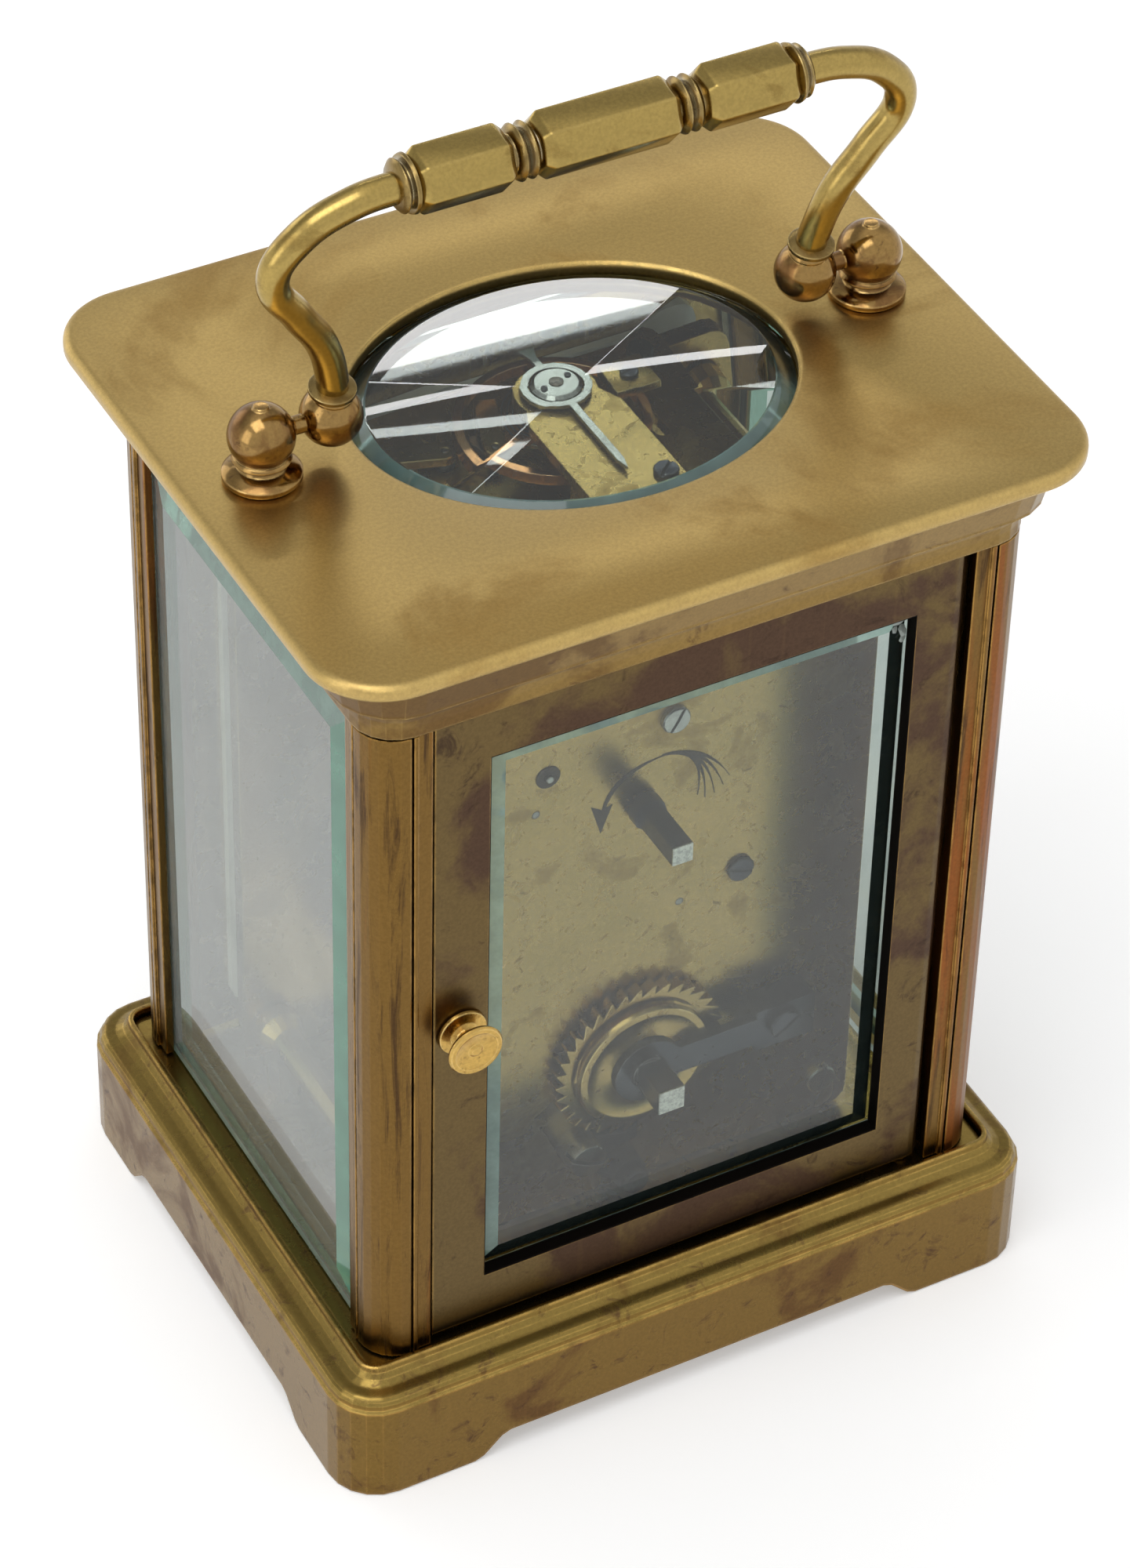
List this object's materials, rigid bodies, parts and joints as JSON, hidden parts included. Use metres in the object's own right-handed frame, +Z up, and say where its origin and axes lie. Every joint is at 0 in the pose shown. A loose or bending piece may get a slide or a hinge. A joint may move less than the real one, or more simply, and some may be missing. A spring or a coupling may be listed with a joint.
{
  "type": "carriage clock",
  "caption": "Small brass carriage clock with bevelled glass sides, folding handle, rear door and a visible movement with a platform escapement.",
  "frame": {"origin": "middle of the footprint, on the surface that the clock stands on", "axes": "+Z up, the rear door faces +Y, the dial faces -Y, and the door's knob is on its +X side"},
  "size_m": [0.084, 0.0684, 0.1464],
  "materials": {
    "aged_brass": "satin olive-gold brass with brown tarnish",
    "brown_brass": "brown patina with bright worn edges",
    "gilt_plate": "pale gilt, finely scratched",
    "polished_brass": "polished brass with residue in the grooves",
    "grey_steel": "polished grey steel",
    "blued_steel": "blued steel",
    "bevelled_glass": "clear, bevelled, green at the edge",
    "white_enamel": "glossy white enamel"
  },
  "bodies": {
    "case": {"back_plate": "gilt_plate", "balance_cock": "gilt_plate", "base_moulding": "aged_brass", "base_plate": "brown_brass", "click_screw": "grey_steel", "click_spring": "grey_steel", "cornice": "aged_brass", "dial": "white_enamel", "endstone_cap": "grey_steel", "escape_bridge": "grey_steel", "front_glass": "bevelled_glass", "front_plate": "gilt_plate", "handle_post_left": "polished_brass", "handle_post_right": "polished_brass", "left_glass": "bevelled_glass", "lever_bridge": "grey_steel", "movement_pillar_lower_left": "gilt_plate", "movement_pillar_lower_right": "gilt_plate", "movement_pillar_upper_left": "gilt_plate", "movement_pillar_upper_right": "gilt_plate", "pillar_front_left": "brown_brass", "pillar_front_right": "brown_brass", "pillar_rear_left": "brown_brass", "pillar_rear_right": "brown_brass", "platform": "gilt_plate", "ratchet_cock": "gilt_plate", "right_glass": "bevelled_glass", "top_glass": "bevelled_glass", "top_glass_retainer": "aged_brass", "top_plate": "aged_brass"},
    "door": {"door_frame": "brown_brass", "door_glass": "bevelled_glass", "door_knob": "polished_brass"},
    "handle": {"handle_bar": "polished_brass", "handle_knuckle_left": "polished_brass", "handle_knuckle_right": "polished_brass"},
    "winding": {"winding_arbor": "grey_steel", "ratchet_wheel": "grey_steel"},
    "click": {"click": "grey_steel"},
    "barrel": {"barrel": "gilt_plate", "barrel_cap": "gilt_plate", "mainspring": "blued_steel"},
    "second": {"second_wheel": "gilt_plate"},
    "centre": {"centre_wheel": "gilt_plate", "cannon_pinion": "grey_steel", "minute_hand": "blued_steel"},
    "third": {"third_wheel": "gilt_plate"},
    "contrate": {"contrate_wheel": "gilt_plate"},
    "escape": {"escape_wheel": "gilt_plate"},
    "lever": {"pallet_lever": "grey_steel"},
    "balance": {"balance_wheel": "polished_brass", "hairspring": "blued_steel"},
    "regulator": {"regulator_index": "grey_steel"},
    "minute": {"minute_wheel": "gilt_plate"},
    "hour": {"hour_wheel": "gilt_plate", "hour_hand": "blued_steel"}
  },
  "joints": [
    {"name": "handle_fold", "type": "hinge", "parent": "case", "child": "handle", "pos_m": [0, 0, 0.1154], "axis": [1, 0, 0], "range_deg": [-80.5, 99.5]},
    {"name": "rear_door_hinge", "type": "hinge", "parent": "case", "child": "door", "pos_m": [-0.02795, 0.02705, 0.0575], "axis": [0, 0, 1], "range_deg": [0, 90]},
    {"name": "winding_turn", "type": "hinge", "parent": "case", "child": "winding", "pos_m": [0, 0, 0.034], "axis": [0, 1, 0], "continuous": true},
    {"name": "click_lift", "type": "hinge", "parent": "case", "child": "click", "pos_m": [0.0066, 0.0171, 0.0231], "axis": [0, -1, 0], "range_deg": [0, 10], "stiffness_Nm_per_rad": 0.004, "springref_deg": -11.46},
    {"name": "centre_turn", "type": "hinge", "parent": "case", "child": "centre", "pos_m": [0, 0, 0.0685], "axis": [0, 1, 0], "continuous": true},
    {"name": "barrel_turn", "type": "hinge", "parent": "case", "child": "barrel", "pos_m": [0, 0, 0.034], "axis": [0, 1, 0], "continuous": true},
    {"name": "second_turn", "type": "hinge", "parent": "case", "child": "second", "pos_m": [-0.00494, 0, 0.05307], "axis": [0, 1, 0], "continuous": true},
    {"name": "third_turn", "type": "hinge", "parent": "case", "child": "third", "pos_m": [0.01216, 0, 0.07182], "axis": [0, 1, 0], "continuous": true},
    {"name": "contrate_turn", "type": "hinge", "parent": "case", "child": "contrate", "pos_m": [0.008, 0, 0.082], "axis": [0, 1, 0], "continuous": true},
    {"name": "escape_turn", "type": "hinge", "parent": "case", "child": "escape", "pos_m": [0.008, -0.01, 0.0955], "axis": [0, 0, 1], "continuous": true},
    {"name": "minute_work_turn", "type": "hinge", "parent": "case", "child": "minute", "pos_m": [-0.0078, 0, 0.0685], "axis": [0, 1, 0], "continuous": true},
    {"name": "hour_turn", "type": "hinge", "parent": "case", "child": "hour", "pos_m": [0, 0, 0.0685], "axis": [0, 1, 0], "continuous": true},
    {"name": "lever_rock", "type": "hinge", "parent": "case", "child": "lever", "pos_m": [0.00341, -0.00849, 0.0965], "axis": [0, 0, 1], "range_deg": [-3, 3]},
    {"name": "balance_swing", "type": "hinge", "parent": "case", "child": "balance", "pos_m": [-0.002, -0.0067, 0.099], "axis": [0, 0, 1], "range_deg": [-135, 135], "stiffness_Nm_per_rad": 0.000014},
    {"name": "regulator_turn", "type": "hinge", "parent": "case", "child": "regulator", "pos_m": [-0.002, -0.0067, 0.1034], "axis": [0, 0, 1], "range_deg": [-12, 12]}
  ],
  "couplings": [
    {"joint": "centre_turn", "follows": "contrate_turn", "ratio": 0.016667},
    {"joint": "barrel_turn", "follows": "contrate_turn", "ratio": 0.00034722},
    {"joint": "second_turn", "follows": "contrate_turn", "ratio": -0.0027778},
    {"joint": "third_turn", "follows": "contrate_turn", "ratio": -0.13333},
    {"joint": "escape_turn", "follows": "contrate_turn", "ratio": -8},
    {"joint": "minute_work_turn", "follows": "contrate_turn", "ratio": -0.0055556},
    {"joint": "hour_turn", "follows": "contrate_turn", "ratio": 0.0013889}
  ]
}
